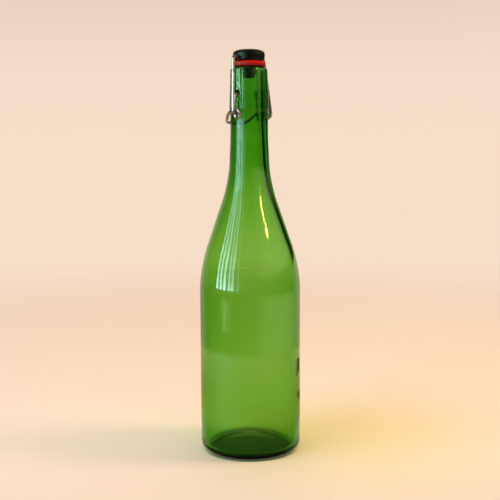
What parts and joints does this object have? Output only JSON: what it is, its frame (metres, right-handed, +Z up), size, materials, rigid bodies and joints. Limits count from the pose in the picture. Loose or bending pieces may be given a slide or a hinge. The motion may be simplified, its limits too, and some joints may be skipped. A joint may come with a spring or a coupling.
{
  "type": "swing top bottle",
  "caption": "Slim green glass bottle with a long tapered neck, closed by a swing stopper with a rubber gasket on an over-centre wire closure.",
  "frame": {"origin": "centre of the foot, on the table plane", "axes": "+Z up along the bottle's axis, X along the pivot axis of the wire closure, -Y towards the closure's handle"},
  "size_m": [0.0812, 0.0812, 0.3215],
  "materials": {
    "green_glass": "smooth transparent green glass",
    "black_plastic": "black, semi gloss",
    "red_rubber": "smooth red rubber",
    "steel_wire": "bright drawn wire"
  },
  "bodies": {
    "bottle": {"bottle": "green_glass"},
    "lever": {"lever": "steel_wire"},
    "bail": {"bail": "steel_wire"},
    "stopper": {"stopper": "black_plastic", "gasket": "red_rubber"}
  },
  "joints": [
    {"name": "lever_pivot", "type": "hinge", "parent": "bottle", "child": "lever", "pos_m": [0, 0, 0.2867], "axis": [-1, 0, 0], "range_deg": [0, 150]},
    {"name": "bail_pivot", "type": "hinge", "parent": "lever", "child": "bail", "pos_m": [0, 0.0034, 0.2711], "axis": [-1, 0, 0], "range_deg": [-97.5, 0]},
    {"name": "stopper_swivel", "type": "hinge", "parent": "bail", "child": "stopper", "pos_m": [0, 0, 0.3146], "axis": [-1, 0, 0], "range_deg": [-52.5, 0]}
  ],
  "couplings": [
    {"joint": "bail_pivot", "follows": "lever_pivot", "ratio": -0.65},
    {"joint": "stopper_swivel", "follows": "lever_pivot", "ratio": -0.35}
  ]
}
